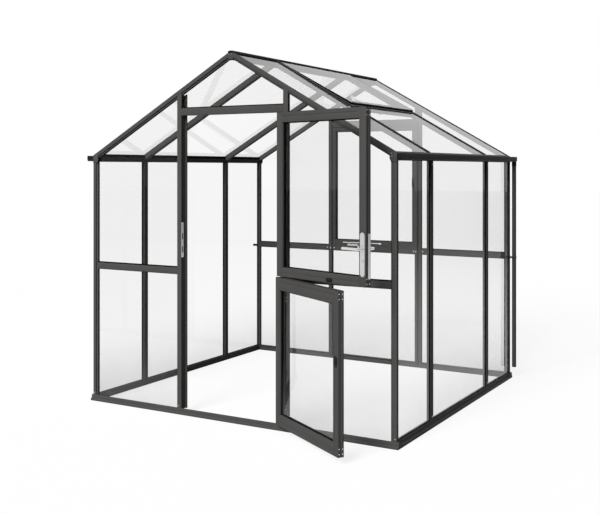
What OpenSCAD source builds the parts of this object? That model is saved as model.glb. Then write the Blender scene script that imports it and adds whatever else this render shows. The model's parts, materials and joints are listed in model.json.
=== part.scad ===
/* [Building] */
// Width over the corner posts
width = 2300; // [2000:10:2600]
// Depth over the corner posts
depth = 2208; // [2000:8:3000]
// Height of the roof's outline at the ridge
ridge_z = 2378; // [2300:2:2500]
// Underside of the eave beams
eave_z = 1676; // [1600:2:1700]
// Rise of the roof for each millimetre across
roof_slope = 0.574; // [0.55:0.002:0.59]
// Thickness of the glass
glass_t = 4; // [3:0.5:5]

/* [Walls] */
// Height of the base rail
base_h = 42; // [36:1:60]
// How far the base rail's foot stands out past the posts
base_out = 13; // [10:1:20]
// Thickness of the side walls
wall_t = 30; // [28:1:36]
// Face width of a corner post
corner_w = 38; // [32:1:50]
// Depth of a corner post and of the end walls' mid-rails
corner_d = 24; // [22:1:28]
// Face width of a side wall bar and of a roof bar
bar_w = 40; // [32:1:50]
// Distance from an end wall to the middle of the nearest bar
bar_inset = 557; // [500:1:620]
// Underside of the mid-rails
mid_z = 926; // [880:1:940]
// Height of the mid-rails
mid_h = 43; // [40:1:60]

/* [Roof] */
// Depth of a rafter, square to the slope
rafter_h = 37; // [34:1:44]
// Depth of a roof bar, square to the slope
roof_bar_h = 33; // [26:1:36]
// Distance from the ridge line across to the vent's lower edge
vent_x = 570; // [420:5:640]
// Face width of the vent's frame
vent_frame = 34; // [26:1:44]
// Height of the closed vent over the glass
vent_over = 22; // [16:1:26]
// Width of the gutters
gutter_w = 54; // [48:1:70]
// Height of the gutters' outer wall
gutter_h = 38; // [30:1:42]
// Outside diameter of the downpipe
pipe_d = 32; // [28:2:36]
// Height of the downpipe's open end
pipe_z = 90; // [60:5:200]

/* [Doorway] */
// Clear width between the door posts
door_gap_w = 777; // [740:1:800]
// Face width of a door post
door_post_w = 34.5; // [34:0.5:44]
// Depth of a door post
door_post_d = 57; // [55:1:64]
// Depth of the stop that the leaves close against
stop_d = 11; // [8:1:11]
// How far the stop stands into the doorway
stop_w = 9.5; // [6:0.5:10]
// Underside of the door header
header_z = 1975; // [1900:1:1980]
// Height of the door header
header_h = 47; // [44:1:60]

/* [Door leaves] */
// Gap between a closed leaf and the post on each side
leaf_gap = 8; // [7.5:0.5:9]
// Gap over the upper leaf and under the lower one
leaf_rise_gap = 5.5; // [5:0.5:8]
// Thickness of a leaf
leaf_t = 38; // [34:1:38]
// Width of a leaf's stiles
stile_w = 53; // [40:1:60]
// Height of the lower leaf's top edge
split_z = 957; // [940:1:970]
// How far the upper leaf stands open, in degrees
upper_open = 161; // [90:1:165]
// How far the lower leaf stands open, in degrees
lower_open = 147; // [90:1:165]
// Height of the lever's spindle
lever_z = 1176; // [1140:2:1200]

/* [Back window] */
// Width of the window frame's stiles
window_stile = 39; // [20:1:44]
// Height of the window frame's top rail
window_rail = 34; // [26:1:44]
// Height of the window frame's bottom rail
window_sill = 49; // [30:1:54]
// Depth of the window frame
window_d = 40; // [30:1:44]

/* [Hidden] */
$fn = 48;
frame_grey = [0.29, 0.29, 0.28];
bright_metal = [0.75, 0.75, 0.76];
black_plastic = [0.05, 0.05, 0.05];
glass_tint = [0.8, 0.9, 0.9, 0.35];
sheet = 3;                                  // thickness of pressed plates and the gutters
seat = 0.1;                                 // play between a sloping rafter and what meets it
groove_w = 2;                               // fine shadow grooves along the frame sections
groove_d = 1.5;

base_seat = base_h - 10;                    // seat of the posts and the end walls' glass
base_lip = 2;                               // the base rail's outer flange, before the posts
post_block_d = 24;                          // depth of a door post's outer block
post_web_w = 10;                            // thickness of the web that carries the stop
half_w = width / 2;
eave_in = half_w - wall_t;                  // inner face of the side walls
glass_x = half_w - 12;                      // inner face of the side walls' glass
glass_y = 14;                               // outer face of the end walls' glass
step_y = 8;                                 // set-back of the flanges beside the end walls' glass
post_face_w = 24;                           // face of a corner post, before its flange
rafter_face = 30;                           // upright height of a rafter's face, over its flange
edge_lip = 4;                               // upstand that covers the roof glass's edge
joint_w = 6;                                // gap between two panes over a bar
cap_half = 5;                               // half width of a roof bar's cap
rafter_cap_w = 20;                          // how far the rafters' cover reaches over the glass
ridge_half = 20;                            // half width of the ridge beam
drip_x = half_w + 16;                       // lower edge of the roof glass
strip_x = half_w - 14;                      // upper edge of the strip along the eaves
pitch = atan(roof_slope);
rafter_drop = rafter_h / cos(pitch);
bar_drop = roof_bar_h / cos(pitch);
post_in = door_gap_w / 2;
post_out = post_in + door_post_w;
bar_y = [bar_inset, depth - bar_inset];
pane_y = [[edge_lip, bar_y[0] - joint_w / 2], [bar_y[0] + joint_w / 2, bar_y[1] - joint_w / 2],
    [bar_y[1] + joint_w / 2, depth - edge_lip]];
vent_y = [bar_y[0] + 9, bar_y[1] - 9];
vent_top = ridge_half + 2;                  // the vent's upper edge, beside the ridge beam
vent_low = 8;                               // height of the vent over the glass at that edge
leaf_half = post_in - leaf_gap;
leaf_y = 0;                                 // outer face of a closed leaf
hinge_x = post_in - leaf_gap / 2;
hinge_y = -7;
hinge_r = 7;
hinge_h = 40;
hinge_pin_r = 3;
hinge_pin_h = 30;
pin_fit = 0.05;
knuckle_gap = 0.5;
lock_x = 26 - leaf_half;                    // middle of the lock stile, door closed
spindle_r = 5;
spindle_hole_r = 8;
plate_r = 18;
plate_z = [1021, 1269];
upper_z = [split_z + 6.5, header_z - leaf_rise_gap];
lower_z = [base_h + leaf_rise_gap, split_z];
upper_rails = [62, 57];                     // heights of a leaf's top and bottom rails
lower_rails = [76, 72];
window_z = [mid_z + mid_h + window_sill, header_z - window_rail];  // glass of the window
upper_hinges = [upper_z[0] + 130, upper_z[1] - 130];
lower_hinges = [lower_z[0] + 120, lower_z[1] - 120];

// Height of the roof's outline at a distance x from the middle
function roof_z(x) = ridge_z - x * roof_slope;

// Height of the roof glass's upper surface
function pane_z(x) = roof_z(x) - edge_lip;

// Height of the vent's upper surface
function vent_z(x) =
    pane_z(x) + vent_low + (vent_over - vent_low) * (x - vent_top) / (vent_x - vent_top);

// A block between two corners
module block(low, high) {
    translate(low) cube(high - low);
}

// Both members of a left and right pair
module both_sides() {
    children();
    mirror([1, 0, 0]) children();
}

// The same piece on the front wall and, turned round, on the back wall
module both_ends() {
    children();
    translate([0, depth, 0]) mirror([0, 1, 0]) children();
}

// An upright plate of an outline in x and z, from y0 back to y1
module upright(points, y0, y1) {
    translate([0, y1, 0]) rotate([90, 0, 0]) linear_extrude(y1 - y0) polygon(points);
}

// A strip along one roof slope: low and high are measured from the glass's upper surface
module slope_strip(x0, x1, low, high, y0, y1) {
    upright([[x0, pane_z(x0) + low], [x1, pane_z(x1) + low],
        [x1, pane_z(x1) + high], [x0, pane_z(x0) + high]], y0, y1);
}

// The room under one roof slope, down from the ridge by a drop
module room_below(drop, y0, y1) {
    upright([[0, 0], [half_w, 0], [half_w, roof_z(half_w) - drop - seat],
        [0, roof_z(0) - drop - seat]], y0, y1);
}

// A wall post whose top is cut to the underside of the rafters
module cut_to_rafters() {
    intersection() {
        children();
        union() {
            room_below(rafter_drop, -1, depth + 1);
            room_below(rafter_face, -1, step_y);
            room_below(rafter_face, depth - step_y, depth + 1);
        }
    }
}

// Swings a piece of the closed door to where the leaf stands
module swung(angle) {
    translate([hinge_x, hinge_y, 0]) rotate([0, 0, angle]) translate([-hinge_x, -hinge_y, 0]) children();
}

// The base rail's section: a foot that slopes out, a groove and a flange before the posts
module base_section(seat_z) {
    foot = base_h * 0.3;
    polygon([[-base_out, 0], [wall_t, 0], [wall_t, seat_z], [0, seat_z], [0, base_h],
        [-base_lip, base_h], [-base_lip, base_h * 0.52], [groove_d - base_lip, base_h * 0.5],
        [-base_lip, base_h * 0.48], [-base_out, foot]]);
}

module base_end_rails() {
    color(frame_grey) both_ends()
        translate([-half_w - base_out, 0, 0]) rotate([90, 0, 90])
            linear_extrude(width + 2 * base_out) base_section(base_seat);
}

module base_side_rails() {
    color(frame_grey) both_sides()
        translate([-half_w, depth - wall_t, 0]) rotate([90, 0, 0])
            linear_extrude(depth - 2 * wall_t) base_section(base_h);
}

// Corner posts: a face, and a flange set back beside the glass
module corner_posts() {
    color(frame_grey) both_ends() both_sides() translate([0, 0, base_seat])
        linear_extrude(eave_z - base_seat) polygon([[half_w - post_face_w, 0], [half_w, 0],
            [half_w, corner_d], [half_w - corner_w, corner_d], [half_w - corner_w, step_y],
            [half_w - post_face_w, step_y]]);
}

// A door post's section: a block, and a web behind it with the stop at its back edge
module door_post_section() {
    web = post_in + post_web_w;
    polygon([[post_in, 0], [post_out, 0], [post_out, post_block_d], [web, post_block_d],
        [web, door_post_d], [post_in - stop_w, door_post_d],
        [post_in - stop_w, door_post_d - stop_d], [post_in, door_post_d - stop_d]]);
}

module door_posts() {
    color(frame_grey) both_sides() cut_to_rafters()
        translate([0, 0, base_seat]) linear_extrude(ridge_z) door_post_section();
}

module back_posts() {
    color(frame_grey) translate([0, depth, 0]) mirror([0, 1, 0]) both_sides() cut_to_rafters()
        translate([0, 0, base_seat]) linear_extrude(ridge_z) door_post_section();
}

module side_wall_bars() {
    color(frame_grey) both_sides() for (y = bar_y)
        block([eave_in, y - bar_w / 2, base_h], [glass_x, y + bar_w / 2, eave_z]);
}

// Outer strips that clamp the glass to the side wall bars
module side_wall_caps() {
    color(frame_grey) both_sides() for (y = bar_y) {
        block([glass_x, y - joint_w / 2, base_h], [glass_x + glass_t + 1, y + joint_w / 2, eave_z]);
        block([glass_x + glass_t, y - bar_w / 2, base_h], [half_w, y + bar_w / 2, eave_z]);
    }
}

module headers() {
    color(frame_grey) both_ends()
        block([-post_in, 0, header_z], [post_in, door_post_d - stop_d, header_z + header_h]);
}

module front_mid_rails() {
    color(frame_grey) both_sides()
        block([post_out, 0, mid_z], [half_w - corner_w, corner_d, mid_z + mid_h]);
}

module back_mid_rails() {
    color(frame_grey) {
        both_sides() block([post_out, depth - corner_d, mid_z],
            [half_w - corner_w, depth, mid_z + mid_h]);
        block([-post_in, depth - window_d, mid_z], [post_in, depth, mid_z + mid_h]);
    }
}

module eave_beams() {
    color(frame_grey) both_sides()
        upright([[eave_in, eave_z], [half_w, eave_z], [half_w, pane_z(half_w) - glass_t],
            [eave_in, pane_z(eave_in) - glass_t]], 0, depth);
}

// Strips that hold the lower edge of the roof glass
module eave_strips() {
    color(frame_grey) both_sides()
        slope_strip(strip_x, drip_x, 0, edge_lip, edge_lip, depth - edge_lip);
}

// Joint plates on the faces of the corners, where post, rafter and eave beam are bolted up
module eave_plates() {
    plate_w = 46;
    plate_h = 44;
    top = roof_z(half_w);
    color(frame_grey) both_ends() both_sides()
        upright([[half_w - plate_w, eave_z + 6], [half_w - corner_w - 2, eave_z - 2],
            [half_w - corner_w, eave_z - 12], [half_w, eave_z - 12], [half_w, top - 3],
            [half_w - plate_w, top + plate_w * roof_slope - 3 - plate_h * 0.35]], -sheet, 0);
}

// A trough beside the eave beam, closed by a cap at each end
module gutters() {
    outline = [[0, 0], [gutter_w - 8, 0], [gutter_w, 8], [gutter_w, gutter_h],
        [gutter_w - sheet, gutter_h], [gutter_w - sheet, 9], [gutter_w - 9, sheet], [0, sheet]];
    cap_outline = [[0, 0], [gutter_w - 8, 0], [gutter_w, 8], [gutter_w, gutter_h], [0, gutter_h]];
    color(frame_grey) both_sides() translate([half_w, depth, eave_z]) rotate([90, 0, 0]) {
        linear_extrude(depth) polygon(outline);
        for (y = [0, depth - sheet]) translate([0, 0, y]) linear_extrude(sheet) polygon(cap_outline);
    }
}

pipe_x = half_w + 36;
pipe_y = depth - 18;

module downpipe() {
    color(frame_grey) translate([pipe_x, pipe_y, pipe_z]) difference() {
        cylinder(d = pipe_d, h = eave_z - pipe_z);
        translate([0, 0, -1]) cylinder(d = pipe_d - 4, h = eave_z - pipe_z + 2);
    }
}

// A bracket from the corner post with a band round the pipe
module downpipe_clip() {
    clip_z = mid_z + 4;
    clip_h = 14;
    color(frame_grey) {
        difference() {
            translate([pipe_x, pipe_y, clip_z]) cylinder(d = pipe_d + 5, h = clip_h);
            translate([pipe_x, pipe_y, clip_z - 1]) cylinder(d = pipe_d, h = clip_h + 2);
        }
        block([half_w, pipe_y - 6, clip_z], [pipe_x - pipe_d / 2 - 1, pipe_y + 6, clip_z + clip_h]);
    }
}

// Rafters of the two gables: a face, a flange set back under it, and a cover over the glass
module gable_rafters() {
    color(frame_grey) both_ends() both_sides() {
        upright([[ridge_half, roof_z(ridge_half) - rafter_drop],
            [eave_in - seat, roof_z(eave_in) - rafter_drop],
            [eave_in - seat, pane_z(eave_in) - glass_t],
            [ridge_half, pane_z(ridge_half) - glass_t]], step_y, wall_t);
        upright([[ridge_half, roof_z(ridge_half) - rafter_face],
            [eave_in - seat, roof_z(eave_in) - rafter_face],
            [eave_in - seat, pane_z(eave_in) - glass_t],
            [ridge_half, pane_z(ridge_half) - glass_t]], 0, step_y + 1);
        upright([[ridge_half, roof_z(ridge_half) - rafter_face / 2],
            [eave_in - seat, roof_z(eave_in) - rafter_face / 2],
            [eave_in - seat, pane_z(eave_in) - glass_t], [half_w, pane_z(half_w) - glass_t],
            [half_w, roof_z(half_w)], [ridge_half, roof_z(ridge_half)]], 0, edge_lip);
        slope_strip(ridge_half, strip_x - seat, seat, edge_lip, 0, rafter_cap_w);
    }
}

module roof_bars() {
    color(frame_grey) both_sides() for (y = bar_y)
        upright([[ridge_half, pane_z(ridge_half) - glass_t - bar_drop],
            [eave_in - seat, pane_z(eave_in) - glass_t - bar_drop],
            [eave_in - seat, pane_z(eave_in) - glass_t],
            [ridge_half, pane_z(ridge_half) - glass_t]], y - bar_w / 2, y + bar_w / 2);
}

// Upstanding strips between the roof panes, over the bars
module roof_caps() {
    color(frame_grey) both_sides() for (y = bar_y) {
        slope_strip(ridge_half, strip_x, -glass_t, 1, y - joint_w / 2, y + joint_w / 2);
        slope_strip(ridge_half, strip_x, 0, 8, y - cap_half, y + cap_half);
    }
}

module ridge_beam() {
    drop = roof_z(ridge_half) - rafter_drop;
    top = ridge_z + 2;
    color(frame_grey)
        upright([[-ridge_half, drop], [ridge_half, drop], [ridge_half, top - 5],
            [ridge_half - 5, top], [5 - ridge_half, top], [-ridge_half, top - 5]], 0, depth);
}

module vent_trimmer() {
    color(frame_grey) {
        slope_strip(vent_x - 16, vent_x + 16, -glass_t - bar_drop * 0.7, -glass_t - seat,
            bar_y[0] + bar_w / 2, bar_y[1] - bar_w / 2);
        slope_strip(vent_x + 3, vent_x + 16, -glass_t - 1, 5,
            bar_y[0] + bar_w / 2, bar_y[1] - bar_w / 2);
    }
}

// A strip of the vent: it stands low at the ridge and higher towards its lower edge
module vent_strip(x0, x1, low, y0, y1) {
    upright([[x0, pane_z(x0) + low], [x1, pane_z(x1) + low],
        [x1, vent_z(x1) - glass_t - seat], [x0, vent_z(x0) - glass_t - seat]], y0, y1);
}

module vent_stiles() {
    color(frame_grey) for (y = [vent_y[0], vent_y[1] - vent_frame])
        vent_strip(vent_top + vent_frame, vent_x - vent_frame, 1, y, y + vent_frame);
}

module vent_rails() {
    color(frame_grey) {
        vent_strip(vent_top, vent_top + vent_frame, 1, vent_y[0], vent_y[1]);
        vent_strip(vent_x - vent_frame, vent_x, 1, vent_y[0], vent_y[1]);
    }
}

// The vent's pane lies over its whole frame
module vent_glass() {
    color(glass_tint)
        upright([[vent_top, vent_z(vent_top) - glass_t], [vent_x + 4, vent_z(vent_x + 4) - glass_t],
            [vent_x + 4, vent_z(vent_x + 4)], [vent_top, vent_z(vent_top)]], vent_y[0], vent_y[1]);
}

// The cylinder that lifts the vent, between the trimmer and the vent's frame
module vent_opener() {
    y = depth / 2;
    color(bright_metal) {
        slope_strip(vent_x - 260, vent_x - 60, -60, -36, y - 12, y + 12);
        slope_strip(vent_x - 60, vent_x - 16.5, -52, -44, y - 5, y + 5);
        slope_strip(vent_x - 34, vent_x - 22, -44, 0.5, y - 5, y + 5);
    }
}

module window_stiles() {
    color(frame_grey) both_sides()
        block([post_in - window_stile, depth - window_d, window_z[0]],
            [post_in, depth, window_z[1]]);
}

module window_rails() {
    color(frame_grey) {
        block([-post_in, depth - window_d, mid_z + mid_h], [post_in, depth, window_z[0]]);
        block([-post_in, depth - window_d, window_z[1]], [post_in, depth, header_z]);
    }
}

module window_glass() {
    color(glass_tint)
        block([window_stile - post_in, depth - 8, window_z[0]],
            [post_in - window_stile, depth - 8 + glass_t, window_z[1]]);
}

module window_handle() {
    handle_x = post_in - window_stile / 2 - 2;
    handle_z = 1478;
    face = depth - window_d;
    color(black_plastic) {
        block([handle_x - 9, face - 4, handle_z - 33], [handle_x + 9, face, handle_z + 33]);
        block([handle_x - 6, face - 16, handle_z - 8], [handle_x + 6, face - 3, handle_z + 8]);
        block([handle_x - 6, face - 22, handle_z - 8], [handle_x + 6, face - 12, handle_z + 70]);
    }
}

// Glass of one side of an end wall: a pane under the mid-rail and one up to the rafter
module end_panes() {
    x1 = half_w - corner_w;
    block([post_out, glass_y, base_seat], [x1, glass_y + glass_t, mid_z]);
    upright([[post_out, mid_z + mid_h], [x1, mid_z + mid_h], [x1, roof_z(x1) - rafter_drop - seat],
        [post_out, roof_z(post_out) - rafter_drop - seat]], glass_y, glass_y + glass_t);
}

// The gable pane over the header, cut to the two rafters and the ridge beam
module gable_pane() {
    side = roof_z(post_in) - rafter_drop - seat;
    top = roof_z(ridge_half) - rafter_drop - seat;
    upright([[-post_in, header_z + header_h], [post_in, header_z + header_h], [post_in, side],
        [ridge_half, top], [-ridge_half, top], [-post_in, side]], glass_y, glass_y + glass_t);
}

module front_glass() {
    color(glass_tint) {
        both_sides() end_panes();
        gable_pane();
    }
}

module back_glass() {
    color(glass_tint) translate([0, depth, 0]) mirror([0, 1, 0]) {
        both_sides() end_panes();
        gable_pane();
        block([-post_in, glass_y, base_seat], [post_in, glass_y + glass_t, mid_z]);
    }
}

module side_glass() {
    ends = [[corner_d, pane_y[0][1]], pane_y[1], [pane_y[2][0], depth - corner_d]];
    color(glass_tint) both_sides() for (pane = ends)
        block([glass_x, pane[0], base_h], [glass_x + glass_t, pane[1], eave_z]);
}

module roof_glass() {
    color(glass_tint) {
        mirror([1, 0, 0]) for (pane = pane_y)
            slope_strip(ridge_half, drip_x, -glass_t, 0, pane[0], pane[1]);
        for (pane = [pane_y[0], pane_y[2]])
            slope_strip(ridge_half, drip_x, -glass_t, 0, pane[0], pane[1]);
        slope_strip(vent_x + 16, drip_x, -glass_t, 0, pane_y[1][0], pane_y[1][1]);
    }
}

module strike_plate() {
    color(bright_metal) difference() {
        block([-post_in, 1, 1038], [1.5 - post_in, 24, 1268]);
        for (z = [1090, 1176]) block([-post_in - 1, 7, z - 20], [2.5 - post_in, 18, z + 20]);
    }
}

// The post's half of each hinge, with the pin that the leaf's half turns on
module door_hinge_pins() {
    color(frame_grey) for (z = concat(upper_hinges, lower_hinges)) {
        block([hinge_x, -sheet, z - hinge_h], [post_out - 4, 0, z]);
        translate([hinge_x, hinge_y, z - hinge_h]) cylinder(r = hinge_r, h = hinge_h);
        translate([hinge_x, hinge_y, z - 1]) cylinder(r = hinge_pin_r, h = hinge_pin_h + 1);
    }
}

// The leaf's half of the hinges
module leaf_hinges(heights) {
    for (z = heights) difference() {
        union() {
            translate([hinge_x, hinge_y, z + knuckle_gap]) cylinder(r = hinge_r, h = hinge_h);
            block([leaf_half - 34, leaf_y - sheet, z + knuckle_gap],
                [hinge_x, leaf_y, z + knuckle_gap + hinge_h]);
        }
        translate([hinge_x, hinge_y, z - 1])
            cylinder(r = hinge_pin_r + pin_fit, h = hinge_pin_h + 2);
    }
}

// A leaf member's section from its outer edge in: a channel in that edge, one groove a face
module leaf_section(w, groove) {
    difference() {
        square([w, leaf_t]);
        for (y = [-1, leaf_t - groove_d]) translate([groove, y]) square([groove_w, groove_d + 1]);
        translate([-1, leaf_t / 2 - 5]) square([groove_d + 1, 10]);
    }
}

module leaf_stiles(z) {
    both_sides() translate([-leaf_half, leaf_y, z[0]])
        linear_extrude(z[1] - z[0]) leaf_section(stile_w, stile_w - 13);
}

// A rail whose outer edge is its top, at the level of the origin
module leaf_rail(h) {
    translate([stile_w - leaf_half, leaf_y, 0]) rotate([90, 90, 90])
        linear_extrude(2 * (leaf_half - stile_w)) leaf_section(h, 24);
}

module leaf_rails(z, heights) {
    translate([0, 0, z[1]]) leaf_rail(heights[0]);
    translate([0, 0, z[0]]) mirror([0, 0, 1]) leaf_rail(heights[1]);
}

module leaf_glass(z, heights) {
    y = leaf_y + leaf_t / 2 - glass_t / 2;
    block([stile_w - leaf_half, y, z[0] + heights[1]],
        [leaf_half - stile_w, y + glass_t, z[1] - heights[0]]);
}

module upper_leaf_stiles() {
    color(frame_grey) swung(upper_open) difference() {
        leaf_stiles(upper_z);
        translate([lock_x, leaf_y - 1, lever_z]) rotate([-90, 0, 0])
            cylinder(r = spindle_hole_r, h = leaf_t + 2);
    }
}

module upper_leaf_rails() {
    color(frame_grey) swung(upper_open) leaf_rails(upper_z, upper_rails);
}

module upper_leaf_glass() {
    color(glass_tint) swung(upper_open) leaf_glass(upper_z, upper_rails);
}

module upper_leaf_hinges() {
    color(frame_grey) swung(upper_open) leaf_hinges(upper_hinges);
}

// A long plate with round ends round the lever's spindle
module lock_plate(y0, y1) {
    translate([lock_x, y1, 0]) rotate([90, 0, 0]) linear_extrude(y1 - y0) difference() {
        union() {
            translate([-plate_r, plate_z[0] + plate_r])
                square([2 * plate_r, plate_z[1] - plate_z[0] - 2 * plate_r]);
            for (z = [plate_z[0] + plate_r, plate_z[1] - plate_r])
                translate([0, z]) circle(r = plate_r);
        }
        translate([0, lever_z]) circle(r = spindle_hole_r);
    }
}

module lock_plates() {
    color(bright_metal) swung(upper_open) {
        lock_plate(leaf_y - sheet, leaf_y);
        lock_plate(leaf_y + leaf_t, leaf_y + leaf_t + sheet);
    }
}

// One lever: a neck square to the leaf and an arm towards the hinges
module lever_arm(y, side) {
    neck = 42;
    arm = 112;
    arm_r = 8.5;
    translate([lock_x, y, lever_z]) rotate([-90 * side, 0, 0]) cylinder(r = arm_r, h = neck);
    translate([lock_x, y + neck * side, lever_z]) {
        sphere(r = arm_r);
        rotate([0, 90, 0]) cylinder(r = arm_r, h = arm);
        translate([arm, 0, 0]) sphere(r = arm_r);
    }
}

module lever_handle() {
    color(bright_metal) swung(upper_open) {
        translate([lock_x, leaf_y - 12, lever_z]) rotate([-90, 0, 0])
            cylinder(r = spindle_r, h = leaf_t + 24);
        lever_arm(leaf_y + leaf_t + sheet + 1, 1);
        lever_arm(leaf_y - sheet - 1, -1);
    }
}

module lower_leaf_stiles() {
    color(frame_grey) swung(lower_open) leaf_stiles(lower_z);
}

module lower_leaf_rails() {
    color(frame_grey) swung(lower_open) leaf_rails(lower_z, lower_rails);
}

module lower_leaf_glass() {
    color(glass_tint) swung(lower_open) leaf_glass(lower_z, lower_rails);
}

module lower_leaf_hinges() {
    color(frame_grey) swung(lower_open) leaf_hinges(lower_hinges);
}

base_end_rails();
base_side_rails();
corner_posts();
door_posts();
back_posts();
side_wall_bars();
side_wall_caps();
headers();
front_mid_rails();
back_mid_rails();
eave_beams();
eave_strips();
eave_plates();
gutters();
downpipe();
downpipe_clip();
gable_rafters();
roof_bars();
roof_caps();
ridge_beam();
vent_trimmer();
vent_stiles();
vent_rails();
vent_glass();
vent_opener();
window_stiles();
window_rails();
window_glass();
window_handle();
front_glass();
back_glass();
side_glass();
roof_glass();
strike_plate();
door_hinge_pins();
upper_leaf_stiles();
upper_leaf_rails();
upper_leaf_glass();
upper_leaf_hinges();
lock_plates();
lever_handle();
lower_leaf_stiles();
lower_leaf_rails();
lower_leaf_glass();
lower_leaf_hinges();
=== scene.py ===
"""Looks for the glass greenhouse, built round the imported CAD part. Metres throughout."""
import json
import math

import bmesh
import bpy
from mathutils import Matrix, Vector

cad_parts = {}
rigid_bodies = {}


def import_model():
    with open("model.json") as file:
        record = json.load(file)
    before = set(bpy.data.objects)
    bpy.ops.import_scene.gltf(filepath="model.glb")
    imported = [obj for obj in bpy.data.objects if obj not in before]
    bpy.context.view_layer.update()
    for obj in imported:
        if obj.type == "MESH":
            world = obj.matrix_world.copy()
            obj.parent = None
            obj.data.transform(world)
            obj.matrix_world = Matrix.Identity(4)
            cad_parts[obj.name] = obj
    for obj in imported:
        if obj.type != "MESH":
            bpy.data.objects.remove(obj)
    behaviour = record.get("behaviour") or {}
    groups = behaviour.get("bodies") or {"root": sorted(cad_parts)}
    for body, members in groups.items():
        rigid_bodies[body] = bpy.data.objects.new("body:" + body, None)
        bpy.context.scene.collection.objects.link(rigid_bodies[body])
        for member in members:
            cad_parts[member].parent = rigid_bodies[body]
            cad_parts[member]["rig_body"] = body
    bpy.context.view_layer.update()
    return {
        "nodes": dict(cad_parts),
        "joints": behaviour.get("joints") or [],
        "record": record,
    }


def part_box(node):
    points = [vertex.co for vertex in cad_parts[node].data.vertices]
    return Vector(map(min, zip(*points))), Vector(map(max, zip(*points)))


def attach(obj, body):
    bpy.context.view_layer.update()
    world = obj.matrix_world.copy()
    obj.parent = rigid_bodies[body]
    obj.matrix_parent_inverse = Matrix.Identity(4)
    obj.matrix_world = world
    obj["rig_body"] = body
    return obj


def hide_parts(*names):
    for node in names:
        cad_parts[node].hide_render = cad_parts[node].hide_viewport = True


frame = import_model()
NODES = frame["nodes"]
JOINTS = {joint["name"]: joint for joint in frame["joints"]}
MM = 0.001
scene = bpy.context.scene


# ---------------------------------------------------------------- materials
def grey(value, warm=0.0):
    return (value * (1 + warm), value, value * (1 - warm), 1.0)


class Shader:
    """A node tree being written: short calls for the nodes that the materials share."""

    def __init__(self, name, block=None, output="ShaderNodeOutputMaterial"):
        self.material = block or bpy.data.materials.new(name)
        self.material.use_nodes = True
        self.tree = self.material.node_tree
        self.tree.nodes.clear()
        self.output = self.tree.nodes.new(output)

    def coords(self, kind="Object"):
        return self.tree.nodes.new("ShaderNodeTexCoord").outputs[kind]

    def add(self, kind, **inputs):
        node = self.tree.nodes.new(kind)
        for key, value in inputs.items():
            self.put(node.inputs[key.replace("_", " ")], value)
        return node

    def put(self, socket, value):
        if isinstance(value, bpy.types.NodeSocket):
            self.tree.links.new(value, socket)
        else:
            socket.default_value = value

    def stretched(self, x, y, z):
        node = self.add("ShaderNodeMapping", Vector=self.coords(), Scale=(x, y, z))
        return node.outputs["Vector"]

    def noise(self, scale, detail=3.0, rough=0.5, vector=None):
        node = self.add("ShaderNodeTexNoise", Vector=vector or self.coords(), Scale=scale,
                        Detail=detail, Roughness=rough)
        return node.outputs["Fac"]

    def spread(self, value, low, high, start=0.3, end=0.7):
        """A value that goes from start to end, spread over low to high."""
        node = self.tree.nodes.new("ShaderNodeMapRange")
        for socket, number in zip(node.inputs, (value, start, end, low, high)):
            self.put(socket, number)
        return node.outputs[0]

    def blend(self, fac, low, high):
        node = self.tree.nodes.new("ShaderNodeMix")
        node.data_type = "RGBA"
        for index, value in ((0, fac), (6, low), (7, high)):
            self.put(node.inputs[index], value)
        return node.outputs[2]

    def maths(self, kind, a, b):
        node = self.tree.nodes.new("ShaderNodeMath")
        node.operation = kind
        self.put(node.inputs[0], a)
        self.put(node.inputs[1], b)
        return node.outputs[0]

    def bump(self, height, distance, strength):
        node = self.add("ShaderNodeBump", Height=height, Distance=distance, Strength=strength)
        return node.outputs["Normal"]

    def mix(self, fac, first, second):
        node = self.add("ShaderNodeMixShader", Fac=fac)
        self.tree.links.new(first.outputs[0], node.inputs[1])
        self.tree.links.new(second.outputs[0], node.inputs[2])
        return node

    def finish(self, node):
        self.tree.links.new(node.outputs[0], self.output.inputs[0])
        return self.material

    def seen(self):
        """1 for the rays that see the background: the camera's, and those in metal and glass."""
        path = self.tree.nodes.new("ShaderNodeLightPath")
        either = self.maths("MAXIMUM", path.outputs["Is Camera Ray"], path.outputs["Is Glossy Ray"])
        return self.maths("MAXIMUM", either, path.outputs["Is Transmission Ray"])


def powder_coat(name, level, roughness=0.5):
    """Satin powder coat: a fine orange-peel skin, faint cloudiness and a little dust."""
    s = Shader(name)
    cloud = s.noise(2.2, 4)
    fleck = s.noise(900, 2)
    tone = s.maths("MULTIPLY", s.spread(cloud, 0.92, 1.08), s.spread(fleck, 0.93, 1.07))
    base = s.blend(s.spread(tone, 0, 1, 0.8, 1.2), grey(level * 0.84, 0.03),
                   grey(level * 1.16, 0.02))
    rough = s.maths("ADD", s.spread(s.noise(260, 3), -0.04, 0.05),
                    s.spread(cloud, roughness - 0.03, roughness + 0.04))
    return s.finish(s.add("ShaderNodeBsdfPrincipled", Base_Color=base, Roughness=rough,
                          Normal=s.bump(s.noise(620, 2), 0.00012, 0.35),
                          Specular_IOR_Level=0.02))


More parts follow.
